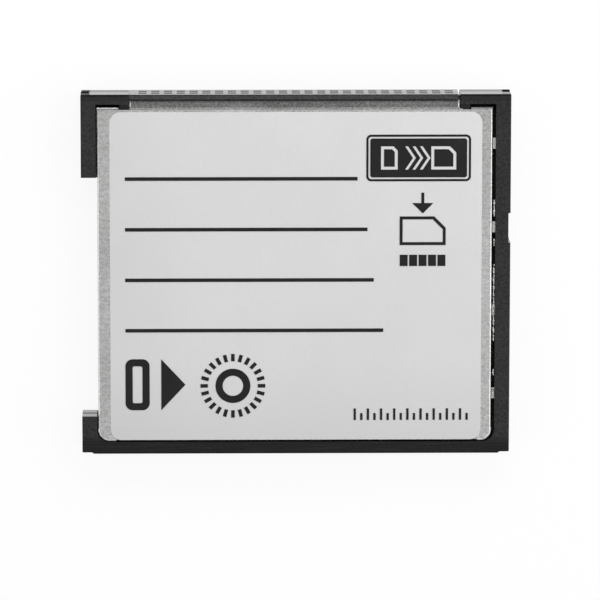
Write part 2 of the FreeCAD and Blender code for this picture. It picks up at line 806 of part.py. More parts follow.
# The socket's moulding: a bar with two rows of square ways, a full height lip along the front
# and two ears that the frame's feet hold back.
def make_socket():
    body = new_body("connector_housing")
    lip_rear = front - s.lip_depth
    tongue_start = lip_rear - s.lip_gap - s.slack - s.tongue_length
    roof = inside_roof - s.slack
    floor = inside_floor + s.slack
    section = [
        (socket_rear, floor), (tongue_start, floor), (lip_rear, floor + s.tongue_drop),
        (lip_rear, 0), (front, 0), (front, s.card_height),
        (lip_rear, s.card_height), (lip_rear, roof - s.tongue_drop), (tongue_start, roof),
        (socket_rear, roof)]
    drawing = sketch(body, "BarSection", "YZ_Plane", [section], socket_left)
    pad(body, "Bar", drawing, socket_right - socket_left)
    ears = rectangle(board_left, board_right, socket_rear, ledge_front - s.ear_front_gap)
    ear_drawing = sketch(body, "EarOutline", "XY_Plane", [ears], ledge_low + s.slack)
    pad(body, "Ears", ear_drawing, s.ledge_height - 2 * s.slack)

    way = pocket(body, "Way", way_sketch(body, "WaySection", s.way_size), s.socket_depth, backwards=True)
    mouth = pocket(body, "WayMouth", way_sketch(body, "MouthSection", s.way_size + 2 * s.lead_in),
                   s.lead_in_depth, backwards=True)
    mouth.TaperAngle = -math.degrees(math.atan2(number(s.lead_in), number(s.lead_in_depth)))
    mouth.setExpression("TaperAngle", f"-atan({(s.lead_in / s.lead_in_depth).formula})")
    row(body, "Ways", [way, mouth], "X_Axis", s.way_pitch, s.way_count)
    return body


# The first way of each row, as a square in the socket's front face
def way_sketch(body, name, size):
    heights = [middle - s.row_pitch / 2, middle + s.row_pitch / 2]
    squares = [rectangle(-socket_half - size / 2, size / 2 - socket_half,
                         height - size / 2, height + size / 2) for height in heights]
    return sketch(body, name, "XZ_Plane", squares, -front)


def make_socket_contacts(label, side):
    body = new_body(label)
    centre = middle + side * s.row_pitch / 2
    tail_face = middle + side * s.board_thickness / 2
    half = s.way_size / 2 - s.slack
    tip = front - s.contact_setback
    base = tip - s.contact_length
    tail_end = socket_rear - s.tail_length
    grip = half - s.contact_sheet
    # The fork's two leaves lean towards each other, and the tail lies on the board.
    section = [
        (tail_end, tail_face), (tail_end, tail_face + side * s.tail_sheet),
        (base, tail_face + side * s.tail_sheet), (base, centre + side * half),
        (tip, centre + side * grip), (tip, centre + side * (grip - s.contact_sheet)),
        (base + s.contact_base, centre + side * grip), (base + s.contact_base, centre - side * grip),
        (tip, centre - side * (grip - s.contact_sheet)), (tip, centre - side * grip),
        (base, tail_face)]
    drawing = sketch(body, "ForkSection", "YZ_Plane", [section], -socket_half - s.contact_width / 2)
    fork = pad(body, "Fork", drawing, s.contact_width)
    row(body, "Forks", [fork], "X_Axis", s.way_pitch, s.way_count)
    return body


def make_board():
    body = new_body("circuit_board")
    outline = [
        (board_left, board_front), (board_right, board_front), (board_right, board_rear),
        (board_inner, board_rear), (board_inner, board_strip_rear), (board_left, board_strip_rear)]
    drawing = sketch(body, "BoardOutline", "XY_Plane", [outline], board_low)
    pad(body, "Board", drawing, s.board_thickness)
    return body


board_middle = (board_inner + board_right) / 2
crystal_middle = slot_front - s.part_gap - s.crystal_width / 2
controller_middle = crystal_middle - (s.crystal_width + s.controller_size) / 2 - s.part_gap
regulator_middle = controller_middle - (s.controller_size + s.regulator_width) / 2 - s.leg_size - s.part_gap
chips_top = regulator_middle - s.regulator_width / 2 - s.leg_size - s.part_gap
chip_offset = (s.chip_length + s.chip_column_gap) / 2
spring_half = ((s.spring_count - 1) * s.spring_pitch + s.last_spring_pitch) / 2
first_spring = slot_middle - spring_half
last_spring = slot_middle + spring_half


def make_controller():
    body = new_body("controller_chip")
    half = s.controller_size / 2
    package = rectangle(board_middle - half, board_middle + half, controller_middle - half,
                        controller_middle + half)
    drawing = sketch(body, "PackageOutline", "XY_Plane", [package], board_top)
    pad(body, "Package", drawing, s.controller_height)
    top = board_top + s.controller_height
    spot = sketch(body, "FirstPinMark", "XY_Plane", [], top)
    reach = half - s.pin_mark_inset
    draw_circle(spot, board_middle - reach, controller_middle + reach, s.pin_mark_radius)
    pocket(body, "FirstPinDimple", spot, s.pin_mark_depth)
    return body


def make_regulator():
    body = new_body("regulator_chip")
    half_length = s.regulator_length / 2
    half_across = s.regulator_width / 2
    package = rectangle(board_middle - half_length, board_middle + half_length,
                        regulator_middle - half_across, regulator_middle + half_across)
    drawing = sketch(body, "PackageOutline", "XY_Plane", [package], board_top)
    pad(body, "Package", drawing, s.regulator_height)
    reach = half_across + s.leg_size
    legs = []
    for place in (-1, 0, 1):
        left = board_middle + s.leg_pitch * place - s.leg_size / 2
        legs.append(rectangle(left, left + s.leg_size, regulator_middle - reach, regulator_middle + reach))
    pad(body, "Legs", sketch(body, "LegOutline", "XY_Plane", legs, board_top), s.tail_sheet)
    return body


def make_crystal():
    body = new_body("crystal")
    can = rectangle(board_middle - s.crystal_length / 2, board_middle + s.crystal_length / 2,
                    crystal_middle - s.crystal_width / 2, crystal_middle + s.crystal_width / 2,
                    s.crystal_corner)
    pad(body, "Can", sketch(body, "CanOutline", "XY_Plane", [can], board_top), s.crystal_height)
    return body


# Chip parts lie in a column across the rear of the board, each with raised end caps.
def make_chips(label, offset):
    body = new_body(label)
    left = board_middle + offset - s.chip_length / 2
    right = left + s.chip_length
    low = chips_top - s.chip_width - s.chip_pitch * (s.chip_count - 1)
    drawing = sketch(body, "ChipOutline", "XY_Plane",
                     [rectangle(left, right, low, low + s.chip_width)], board_top)
    chip = pad(body, "Chip", drawing, s.chip_height - s.slack)
    caps = [rectangle(left, left + s.chip_cap, low, low + s.chip_width),
            rectangle(right - s.chip_cap, right, low, low + s.chip_width)]
    cap = pad(body, "Caps", sketch(body, "CapOutline", "XY_Plane", caps, board_top), s.chip_height)
    row(body, "Column", [chip, cap], "Y_Axis", s.chip_pitch, s.chip_count)
    return body


def make_contact_block():
    body = new_body("card_contact_block")
    outline = rectangle(stop_face, block_back, slot_rear + s.board_gap, slot_front - s.board_gap)
    drawing = sketch(body, "BlockOutline", "XY_Plane", [outline], wall_floor)
    pad(body, "Block", drawing, wall_roof - s.block_top_gap - wall_floor)
    half = s.spring_width / 2 + s.spring_slack
    slot_top = board_low + s.spring_gap
    base = sketch(body, "SlotOutline", "XY_Plane",
                  [rectangle(stop_face - s.slack, block_back + s.slack,
                             first_spring - half, first_spring + half)], wall_floor)
    slot = pocket(body, "Slot", base, slot_top - wall_floor, backwards=True)
    last = sketch(body, "LastSlotOutline", "XY_Plane",
                  [rectangle(stop_face - s.slack, block_back + s.slack,
                             last_spring - half, last_spring + half)], wall_floor)
    row(body, "Slots", [slot], "Y_Axis", s.spring_pitch, s.spring_count)
    pocket(body, "LastSlot", last, slot_top - wall_floor, backwards=True)
    return body


# Nine cantilever springs. Each tail lies under the board, and each tip arches up to the card.
def make_card_springs():
    body = new_body("card_contacts")
    low = wall_floor + s.spring_gap
    top = low + s.spring_sheet
    leg = block_back - s.spring_gap - s.spring_sheet
    bend = stop_face - s.spring_reach / 2
    crest = stop_face - s.spring_reach
    tip = crest - s.spring_pad
    peak = top + s.spring_rise
    section = [
        (board_inner + s.spring_pad, board_low), (leg, board_low), (leg, top), (bend, top),
        (crest, peak), (crest - s.spring_pad / 2, peak), (tip, peak - s.spring_rise / 2),
        (tip, peak - s.spring_rise / 2 - s.spring_sheet), (crest - s.spring_pad / 2, peak - s.spring_sheet),
        (crest, peak - s.spring_sheet), (bend, low), (leg + s.spring_sheet, low),
        (leg + s.spring_sheet, board_low - s.spring_sheet),
        (board_inner + s.spring_pad, board_low - s.spring_sheet)]
    drawing = sketch(body, "SpringSection", "XZ_Plane", [section], -first_spring - s.spring_width / 2)
    spring = pad(body, "Spring", drawing, s.spring_width)
    last = sketch(body, "LastSpringSection", "XZ_Plane", [section], -last_spring - s.spring_width / 2)
    row(body, "Springs", [spring], "Y_Axis", s.spring_pitch, s.spring_count)
    pad(body, "LastSpring", last, s.spring_width)
    return body


# A switch: a leaf on the board that bulges through its window into the card's path, and the
# fixed contact that the card presses it against.
def make_switch(label, place):
    leaf = new_body(f"{label}_leaf")
    foot_front = board_strip_rear + s.shelf_width
    foot_rear_face = foot_front - s.switch_sheet
    root = place
    elbow = place - s.switch_length / 4
    crest = place - s.switch_length * 3 / 4
    tip = place - s.switch_length
    bulge = slot_front - s.switch_reach
    outline = [
        (root, foot_front), (root, foot_rear_face), (elbow, foot_rear_face), (crest, bulge),
        (tip, slot_front + s.switch_reach), (tip, slot_front + s.switch_reach + s.switch_sheet),
        (crest, bulge + s.switch_sheet), (elbow, foot_front)]
    drawing = sketch(leaf, "LeafOutline", "XY_Plane", [outline], board_top)
    pad(leaf, "Leaf", drawing, s.switch_height)
    post = new_body(f"{label}_contact")
    drawing = sketch(post, "PostOutline", "XY_Plane",
                     [rectangle(crest - s.switch_sheet, crest + s.switch_sheet * 3,
                                board_strip_rear + s.switch_sheet, foot_front)], board_top)
    pad(post, "Post", drawing, s.switch_height)
    return [leaf, post]


pieces = [
    make_frame(),
    make_cover("back_cover", True),
    make_cover("front_cover", False),
    make_back_label(),
    make_label_print(),
    make_socket(),
    make_socket_contacts("connector_contacts_upper", 1),
    make_socket_contacts("connector_contacts_lower", -1),
    make_board(),
    make_controller(),
    make_regulator(),
    make_crystal(),
    make_chips("chip_capacitors", -chip_offset),
    make_chips("chip_resistors", chip_offset),
    make_contact_block(),
    make_card_springs(),
    make_film("upper_insulating_film", inside_roof - s.film),
    make_film("lower_insulating_film", inside_floor),
]
pieces += make_switch("card_detect", detect_root)
pieces += make_switch("write_protect", protect_root)

doc.recompute()
for item in doc.Objects:
    if "Invalid" in item.State or "Error" in item.State:
        raise ValueError(f"{item.Label} failed: {item.State}")
os.makedirs("parts", exist_ok=True)
for piece in pieces:
    if piece.Shape.isNull() or not piece.Shape.isValid() or not piece.Shape.Solids:
        raise ValueError(f"{piece.Label} has no sound shape")
    piece.Shape.exportStep(f"parts/{piece.Label}.step")
    box = piece.Shape.BoundBox
    print(f"{piece.Label}: {len(piece.Shape.Solids)} solids, volume {piece.Shape.Volume:.3f}, "
          f"x {box.XMin:.2f} to {box.XMax:.2f}, y {box.YMin:.2f} to {box.YMax:.2f}, "
          f"z {box.ZMin:.2f} to {box.ZMax:.2f}")
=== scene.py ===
import math

import bpy
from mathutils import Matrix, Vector


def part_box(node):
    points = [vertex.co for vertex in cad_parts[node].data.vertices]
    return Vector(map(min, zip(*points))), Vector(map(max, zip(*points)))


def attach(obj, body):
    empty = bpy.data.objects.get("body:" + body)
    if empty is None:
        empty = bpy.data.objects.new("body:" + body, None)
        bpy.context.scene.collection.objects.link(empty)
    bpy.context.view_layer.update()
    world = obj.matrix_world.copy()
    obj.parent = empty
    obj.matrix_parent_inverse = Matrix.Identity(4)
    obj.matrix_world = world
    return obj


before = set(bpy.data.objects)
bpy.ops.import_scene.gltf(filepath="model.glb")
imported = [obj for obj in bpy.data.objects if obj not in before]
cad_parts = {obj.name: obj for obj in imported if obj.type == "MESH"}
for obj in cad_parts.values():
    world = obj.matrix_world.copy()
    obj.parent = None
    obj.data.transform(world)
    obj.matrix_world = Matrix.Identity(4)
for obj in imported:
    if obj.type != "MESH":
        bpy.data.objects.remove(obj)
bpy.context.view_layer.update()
print("frame loaded with", len(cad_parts), "nodes")

perMetre = 1000


def tone(red, green=None, blue=None):
    if green is None:
        return (red, red, red, 1)
    return (red, green, blue, 1)


# Camera, lamps and floor

camera = {"place": (-0.0090774, 0.1034517, 0.5761687), "turn": (-10.4817, -0.941, 0.0433),
          "lens": 350.03, "sensor": 36, "near": 0.01, "far": 20}

bpy.ops.object.camera_add(location=camera["place"],
                          rotation=[math.radians(angle) for angle in camera["turn"]])
eye = bpy.context.object
eye.name = "photoCamera"
eye.data.sensor_width = camera["sensor"]
eye.data.lens = camera["lens"]
eye.data.clip_start = camera["near"]
eye.data.clip_end = camera["far"]
bpy.context.scene.camera = eye
bpy.context.scene.view_settings.view_transform = "Standard"

# Width and length of each soft box are in metres, its power is in watts
softBoxes = {
    "overhead": {"place": (0, -0.45, 1.2), "aim": (0, -0.45, 0), "width": 1.2, "length": 0.98,
                 "power": 2.65},
    "front": {"place": (0.04, 0.21, 0.155), "aim": (0, 0, 0), "width": 0.38, "length": 0.14,
              "power": 0.58},
    "rightSide": {"place": (0.31, -0.03, 0.2), "aim": (0.01, 0.005, 0), "width": 0.36, "length": 0.36,
                  "power": 0.9},
    "leftSide": {"place": (-0.37, -0.06, 0.2), "aim": (0, 0.005, 0), "width": 0.4, "length": 0.32,
                 "power": 0.6},
}


def hangSoftBox(name, box):
    towards = Vector(box["aim"]) - Vector(box["place"])
    bpy.ops.object.light_add(type="AREA", location=box["place"],
                             rotation=towards.to_track_quat("-Z", "Y").to_euler())
    lamp = bpy.context.object
    lamp.name = name
    lamp.data.shape = "RECTANGLE"
    lamp.data.size = box["width"]
    lamp.data.size_y = box["length"]
    lamp.data.energy = box["power"]


for boxName, box in softBoxes.items():
    hangSoftBox(boxName, box)

room = {"grey": 0.14}
world = bpy.data.worlds.new("room")
bpy.context.scene.world = world
world.use_nodes = True
world.node_tree.nodes["Background"].inputs["Color"].default_value = tone(room["grey"])
print("camera and lamps set")


# A socket of a finish. Python's operators on it add the maths nodes.
class Socket:
    def __init__(self, finish, output):
        self.finish = finish
        self.output = output

    def maths(self, operation, first, second):
        return self.finish.node("ShaderNodeMath", {"operation": operation}, {0: first, 1: second})

    def __add__(self, other):
        return self.maths("ADD", self, other)

    def __radd__(self, other):
        return self.maths("ADD", other, self)

    def __sub__(self, other):
        return self.maths("SUBTRACT", self, other)

    def __rsub__(self, other):
        return self.maths("SUBTRACT", other, self)

    def __mul__(self, other):
        return self.maths("MULTIPLY", self, other)

    def __gt__(self, other):
        return self.maths("GREATER_THAN", self, other)

    def __lt__(self, other):
        return self.maths("LESS_THAN", self, other)


# A material with the few node groups that the finishes below share
class Finish:
    def __init__(self, name):
        self.material = bpy.data.materials.new(name)
        self.material.use_nodes = True
        self.tree = self.material.node_tree
        self.tree.nodes.clear()
        self.place = self.node("ShaderNodeTexCoord", output="Object")

    def node(self, kind, settings=None, values=None, output=0):
        made = self.tree.nodes.new(kind)
        for key, setting in (settings or {}).items():
            setattr(made, key, setting)
        for key, value in (values or {}).items():
            if isinstance(value, Socket):
                self.tree.links.new(value.output, made.inputs[key])
            else:
                made.inputs[key].default_value = value
        if made.outputs:
            return Socket(self, made.outputs[output])
        return None

    # Cloudy noise whose blots are about size across, drawn out by stretch
    def noise(self, size, stretch=(1, 1, 1), detail=2):
        scale = [1 / (size * part) for part in stretch]
        spot = self.node("ShaderNodeMapping", None, {"Vector": self.place, "Scale": scale})
        return self.node("ShaderNodeTexNoise", None, {"Vector": spot, "Scale": 1, "Detail": detail})

    # Small cells whose value grows from their middle to their edges, like the pits that sparks leave
    def grains(self, size):
        return self.node("ShaderNodeTexVoronoi", None, {"Vector": self.place, "Scale": 1 / size})

    # Turns the part of a value between low and high into 0 to 1
    def band(self, value, low, high):
        return self.node("ShaderNodeMapRange", None, {0: value, 1: low, 2: high})

    # 1 where a value lies between low and high
    def within(self, value, low, high):
        return (value > low) * (value < high)

    # Two noises in one. The first has the given share and the second the rest.
    def share(self, first, part, second):
        return first * part + second * (1 - part)

    # What a noise from 0 to 1 adds to a value, or takes from it, with reach from end to end
    def swing(self, noise, reach):
        return (noise - 0.5) * reach

    # The first colour where the mask is 0 and the second where it is 1
    def blend(self, mask, first, second):
        return self.node("ShaderNodeMix", {"data_type": "RGBA"}, {0: mask, 6: first, 7: second}, 2)

    def bump(self, height, depth):
        return self.node("ShaderNodeBump", None, {"Strength": 1, "Distance": depth, "Height": height})

    def axis(self, name):
        return self.node("ShaderNodeSeparateXYZ", None, {0: self.place}, name)

    # How far an edge is rolled over, in units of a bump's depth. The roll begins inset from a face
    # and its low side is towards that face. Inwards is 1 where the axis points into the piece.
    def rolled(self, name, face, inwards, roll, depth):
        start = face + inwards * (roll["inset"] + roll["width"])
        end = face + inwards * roll["inset"]
        return self.band(self.axis(name), start, end) * (roll["fall"] / depth)

    # 1 outside the middle part of a node's box along an axis, where its metal ends are
    def ends(self, name, node, reach):
        low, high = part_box(node)
        letter = "XYZ".index(name)
        along = self.axis(name)
        return (along < low[letter] + reach) + (along > high[letter] - reach)

    def surface(self, **values):
        words = {"colour": "Base Color", "roughness": "Roughness", "metallic": "Metallic",
                 "normal": "Normal", "coat": "Coat Weight", "specular": "Specular IOR Level",
                 "ior": "IOR"}
        shader = self.node("ShaderNodeBsdfPrincipled", None,
                           {words[key]: value for key, value in values.items()})
        self.node("ShaderNodeOutputMaterial", None, {"Surface": shader})
        return self.material


# The floor is plain paper. The camera, glossy and clear surfaces see it white, with a soft shadow.
# From below it is clear, so that the card's underside can be looked at.
paper = {"size": 8, "grey": 0.95, "white": 0.9, "under": 0.00003}


def layFloor():
    bpy.ops.mesh.primitive_plane_add(size=paper["size"], location=(0, 0, -paper["under"]))
    floor = bpy.context.object
    floor.name = "paperFloor"
    finish = Finish("paperFinish")
    seen = finish.node("ShaderNodeLightPath", output="Is Camera Ray")
    glossy = finish.node("ShaderNodeLightPath", output="Is Glossy Ray")
    clear = finish.node("ShaderNodeLightPath", output="Is Transmission Ray")
    share = finish.node("ShaderNodeMath", {"operation": "ADD", "use_clamp": True},
                        {0: seen + glossy, 1: clear}) * paper["white"]
    matt = finish.node("ShaderNodeBsdfDiffuse", None, {"Color": tone(paper["grey"])})
    bright = finish.node("ShaderNodeEmission", None, {"Color": tone(1), "Strength": 1})
    mixed = finish.node("ShaderNodeMixShader", None, {0: share, 1: matt, 2: bright})
    below = finish.node("ShaderNodeNewGeometry", output="Backfacing")
    gone = finish.node("ShaderNodeBsdfTransparent")
    whole = finish.node("ShaderNodeMixShader", None, {0: below, 1: mixed, 2: gone})
    finish.node("ShaderNodeOutputMaterial", None, {"Surface": whole})
    floor.data.materials.append(finish.material)


layFloor()


# Finishes of the CAD nodes

mouldedPlastic = {
    "frameBlack": {"colour": tone(0.001), "fleck": tone(0.022), "roughness": 0.2, "spark": 0.00024,
                   "depth": 0.0000016, "ior": 1.42},
    "socketBlack": {"colour": tone(0.012), "fleck": tone(0.042), "roughness": 0.2, "spark": 0.0002,
                    "depth": 0.000001, "ior": 1.5},
    "carrierBlack": {"colour": tone(0.008), "fleck": tone(0.02), "roughness": 0.3, "spark": 0.00016,
                     "depth": 0.000002, "ior": 1.5},
}
# What the three have in common. A pit is a share of a spark, and clouds and pits change the gloss.
mouldWear = {"pit": 0.6, "cloud": 0.004, "dustPart": 0.8, "from": 0.36, "full": 0.66, "cloudGloss": 0.12,
             "pitGloss": 0.08, "pitPart": 0.5}

# Places on the frame and the socket, in metres. Near is how close to a face still counts as on it.
frameZones = {
    "near": 0.00002, "insideX": 0.01993, "insideTop": 0.0031, "insideFront": 0.0178,
    "slotEnd": -0.01436, "line": 0.0016, "lineHalf": 0.00026, "smoothFrom": 0.0015,
    "rearFade": 0.0006, "grooveDepth": 0.0009, "blockEnd": -0.01658, "blockRear": 0.0172,
    "footRear": 0.0165,
}
# How much darker, rougher and glossier those places are than the rest. The lip of the right groove
# is less worn than the left one.
# The darker rear bar and feet are painted shade
frameShades = {
    "dark": {"rearBar": 0.8, "frontBlocks": 0.6, "feet": 0.9},
    "rough": {"rearBar": 0.6, "inside": 0.6, "feet": 0.5, "slotEnd": 0.05, "line": 0.25, "lips": 0.4,
              "smooth": -0.1},
    "coat": {"slotEnd": 0.65, "frontFace": 0.45, "socketFace": 0.4},
    "rightLip": 0.4,
}
rearStreaks = {"size": 0.00011, "stretch": (50, 1, 1), "from": 0.5, "full": 0.7, "part": 0.7}
# Upper edges that are rolled over: where each begins inside the outer face, how wide it is and how
# far it falls, in metres
rolledEdges = {
    "lipFront": {"inset": 0, "width": 0.0001, "fall": 0.000025},
    "lipRear": {"inset": 0.00062, "width": 0.00016, "fall": 0.00006},
    "rim": {"inset": 0.00008, "width": 0.0001, "fall": 0.000032},
    "blockEnd": {"inset": 0, "width": 0.00012, "fall": 0.00003},
}


# Black plastic with the fine pits of a spark-cut mould and a slow drift in gloss
def mouldedBlack(name):
    look = mouldedPlastic[name]
    finish = Finish(name)
    sparks = finish.grains(look["spark"] * mouldWear["pit"])
    cloud = finish.noise(mouldWear["cloud"], detail=3)
    dust = finish.noise(look["spark"], detail=3)
    flecks = finish.band(finish.share(dust, mouldWear["dustPart"], cloud),
                         mouldWear["from"], mouldWear["full"])
    colour = finish.blend(flecks, look["colour"], look["fleck"])
    roughness = (look["roughness"] + finish.swing(cloud, mouldWear["cloudGloss"])
                 + finish.swing(sparks, mouldWear["pitGloss"]))
    height = finish.share(sparks, mouldWear["pitPart"], dust)
    coat = 0
    if name == "frameBlack":
        colour, roughness, height, coat = frameDetail(finish, look, colour, roughness, height)
    if name == "socketBlack":
        height, coat = lipDetail(finish, look, height)
    return finish.surface(colour=colour, roughness=roughness, ior=look["ior"], coat=coat,
                          normal=finish.bump(height, look["depth"]))


# Masks of the places on the frame
def framePlaces(finish):
    zones = frameZones
    across, along, up = (finish.axis(name) for name in "XYZ")
    low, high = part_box("frame")
    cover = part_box("back_cover")
    between = finish.within(across, -zones["insideX"], zones["insideX"])
    endOfSlot = finish.within(along, zones["slotEnd"] - zones["near"], zones["slotEnd"] + zones["near"])
    leftLip = across < low.x + zones["grooveDepth"]
    rightLip = across > high.x - zones["grooveDepth"]
    return {
        "rearBar": 1 - finish.band(along, cover[0].y, cover[0].y + zones["rearFade"]),
        "frontBlocks": along > cover[1].y,
        "feet": between * finish.within(along, zones["footRear"], zones["blockRear"]),
        "inside": between * (up < zones["insideTop"]) * (along < zones["insideFront"]),
        "frontFace": along > high.y - zones["near"],
        "slotEnd": endOfSlot * (across < -zones["insideX"]),
        "line": finish.within(up, zones["line"] - zones["lineHalf"], zones["line"] + zones["lineHalf"]),
        "smooth": up > zones["smoothFrom"],
        "lips": leftLip + rightLip * frameShades["rightLip"],
        "blockEnd": (along > zones["footRear"]) * (across < zones["blockEnd"] + zones["near"]),
    }


# The rear bar and the feet are painted darker as painted shade, the front blocks are darker too, and the
# bar is streaked along its length.
# The inner ledges are rough and lose the light. The faces at the front and at the slot's end are
# glossy, less so on the lips of the guide grooves and on the parting line. The outer rim and the end
# of the left block are rolled over.
def frameDetail(finish, look, colour, roughness, height):
    places = framePlaces(finish)
    rearBar, feet, slotEnd = (places[name] for name in ("rearBar", "feet", "slotEnd"))
    frontFace, line, smooth, lips = (places[name] for name in ("frontFace", "line", "smooth", "lips"))

    dark = frameShades["dark"]
    # Painted shade: the rear bar and the feet lose their flecks and turn a plain darker black, and so do
    # the front blocks
    shade = rearBar * dark["rearBar"] + places["frontBlocks"] * dark["frontBlocks"] + feet * dark["feet"]
    colour = finish.blend(finish.band(shade, 0, 1), colour, look["colour"])
    streaks = finish.noise(rearStreaks["size"], rearStreaks["stretch"], detail=3)
    streaks = finish.band(streaks, rearStreaks["from"], rearStreaks["full"]) * rearBar * rearStreaks["part"]
    colour = finish.blend(streaks, colour, look["fleck"])

    rough = frameShades["rough"]
    roughness = (roughness + rearBar * rough["rearBar"] + places["inside"] * rough["inside"]
                 + feet * rough["feet"] + slotEnd * (line * rough["line"] + rough["slotEnd"])
                 + frontFace * (lips * rough["lips"] + smooth * rough["smooth"]))

    low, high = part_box("frame")
    rim = rolledEdges["rim"]
    depth = look["depth"]
    blockEnd = finish.rolled("X", frameZones["blockEnd"], -1, rolledEdges["blockEnd"], depth)
    height = (height - finish.rolled("X", low.x, 1, rim, depth) - finish.rolled("Y", low.y, 1, rim, depth)
              - finish.rolled("Y", high.y, -1, rim, depth) - blockEnd * places["blockEnd"])

    coats = frameShades["coat"]
    coat = (slotEnd * (1 - line) * coats["slotEnd"]
            + frontFace * smooth * (1 - lips) * coats["frontFace"])
    return colour, roughness, height, coat


# The socket's lip is rolled over at its front and rear edges, and its front face is glossy
def lipDetail(finish, look, height):
    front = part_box("frame")[1].y
    lip = rolledEdges["lipRear"]
    height = (height - finish.rolled("Y", front, -1, rolledEdges["lipFront"], look["depth"])
              - finish.rolled("Y", front - lip["inset"] * 2, 1, lip, look["depth"]))
    coat = (finish.axis("Y") > front - frameZones["near"]) * frameShades["coat"]["socketFace"]
    return height, coat


# The pale and grey tones of the cover's painted highlights and painted darker reflections, and the extra
# roughness there, are in this table too
rolledSheet = {
    "dark": tone(0.31, 0.31, 0.305), "light": tone(0.74, 0.74, 0.735), "paintedHighlight": tone(0.92),
    "paintedDarkReflection": tone(0.12), "roughness": 0.27, "paintedHighlightRoughness": 0.3, "depth": 0.0000042,
    "grain": 0.00026, "lines": 0.00006, "stretch": (60, 1, 1), "cloud": 0.006,
    "grainPart": 0.5, "linePart": 0.25, "cloudPart": 0.25, "from": 0.3, "full": 0.7,
    "grainGloss": 0.12, "cloudGloss": 0.05, "grainHeight": 0.7,
}
# Places on the upper cover, in metres. Bend, flat and brow are below its top, side and corner
# inside its edges.
coverZones = {
    "bend": 0.00021, "flat": 0.000004, "brow": 0.00005, "side": 0.00025, "corner": 0.0018,
    "cornerDepth": 0.0013, "front": 0.01665, "frontEnds": 0.0174, "tongueEnd": -0.0164,
    "tongueRear": 0.0169,
}
# How strong the painted highlight is on each bend. The left side's is weaker than the right's.
paintedHighlightShares = {"right": 0.9, "left": 0.45, "corners": 0.8, "frontEnds": 0.8, "tongueEnd": 0.45}


# Stainless sheet: fine even grain, faint rolling lines along the card and slow clouds of tarnish, with
# painted highlights and painted darker reflections on the upper cover's bends
def rolledSteel():
    look = rolledSheet
    finish = Finish("rolledSteel")
    grain = finish.noise(look["grain"], detail=4)
    lines = finish.noise(look["lines"], look["stretch"], detail=3)
    cloud = finish.noise(look["cloud"], detail=3)
    mixed = grain * look["grainPart"] + lines * look["linePart"] + cloud * look["cloudPart"]
    colour = finish.blend(finish.band(mixed, look["from"], look["full"]), look["dark"], look["light"])
    # Painted highlights: the cover's bends turn pale and matt, and grey where a darker reflection is
    # painted
    paintedHighlight, paintedDarkReflection = coverPaintedHighlights(finish)
    colour = finish.blend(paintedHighlight, colour, finish.blend(paintedDarkReflection, look["paintedHighlight"], look["paintedDarkReflection"]))
    roughness = (look["roughness"] + finish.swing(grain, look["grainGloss"])
                 + finish.swing(cloud, look["cloudGloss"]) + paintedHighlight * look["paintedHighlightRoughness"])
    height = finish.share(grain, look["grainHeight"], lines)
    return finish.surface(colour=colour, metallic=1 - paintedHighlight, roughness=roughness,
                          normal=finish.bump(height, look["depth"]))


# Painted highlights on the upper cover's bends, at the sides, the rear corners and both ends of the front,
# and on the left end of the tongue: pale matt colour stands in for the light they catch. At the right
# of the front and on the brow of its bends they are grey, a painted darker reflection.
def coverPaintedHighlights(finish):
    zones = coverZones
    low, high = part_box("back_cover")
    across, along, up = (finish.axis(name) for name in "XYZ")
    bend = finish.within(up, high.z - zones["bend"], high.z - zones["flat"])
    right = across > high.x - zones["side"]
    left = across < low.x + zones["side"]
    ends = (across < low.x + zones["corner"]) + (across > high.x - zones["corner"])
    corners = ends * (along < low.y + zones["cornerDepth"])
    front = along > zones["front"]
    frontRight = front * finish.within(across, zones["frontEnds"], high.x - zones["side"])
    frontLeft = front * (across < -zones["frontEnds"])
    bends = (right * paintedHighlightShares["right"] + left * paintedHighlightShares["left"] + corners * paintedHighlightShares["corners"]
             + frontRight * paintedHighlightShares["frontEnds"] + frontLeft * paintedHighlightShares["frontEnds"])
    tongueEnd = (finish.within(across, -zones["frontEnds"], zones["tongueEnd"])
                 * (along > zones["tongueRear"]) * (up > high.z - zones["side"]))
    paintedHighlight = finish.band(finish.band(bends, 0, 1) * bend + tongueEnd * paintedHighlightShares["tongueEnd"], 0, 1)
    brow = (up > high.z - zones["brow"]) * front
    return paintedHighlight, finish.band(frontRight + brow, 0, 1)


satinFilm = {
    "light": tone(0.68), "dark": tone(0.64), "paintedDimTone": tone(0.57), "roughness": 0.5, "depth": 0.0000015,
    "cloud": 0.007, "fibre": 0.0002, "stretch": (1, 2, 1), "cloudPart": 0.6, "from": 0.35, "full": 0.7,
    "gloss": 0.1, "paintedShadeReach": 0.008, "rearPaintedShade": 0.6, "leftPaintedShade": 0.3,
}


# The label's stock: a pale satin film with faint clouds and a skin like fine paper.
# Along its rear and left edges it is painted a little darker, a painted shade where the light falls off.
def labelFilm():
    look = satinFilm
    finish = Finish("labelFilm")
    cloud = finish.noise(look["cloud"], detail=4)
    fibre = finish.noise(look["fibre"], look["stretch"], detail=4)
    mask = finish.band(finish.share(cloud, look["cloudPart"], fibre), look["from"], look["full"])
    colour = finish.blend(mask, look["light"], look["dark"])
    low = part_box("back_label")[0]
    # Painted shade: the film turns darker towards its rear and left edges
    rear = 1 - finish.band(finish.axis("Y"), low.y, low.y + look["paintedShadeReach"])
    left = 1 - finish.band(finish.axis("X"), low.x, low.x + look["paintedShadeReach"])
    colour = finish.blend(rear * look["rearPaintedShade"] + left * look["leftPaintedShade"], colour, look["paintedDimTone"])
    roughness = look["roughness"] + finish.swing(cloud, look["gloss"])
    return finish.surface(colour=colour, roughness=roughness, normal=finish.bump(fibre, look["depth"]))


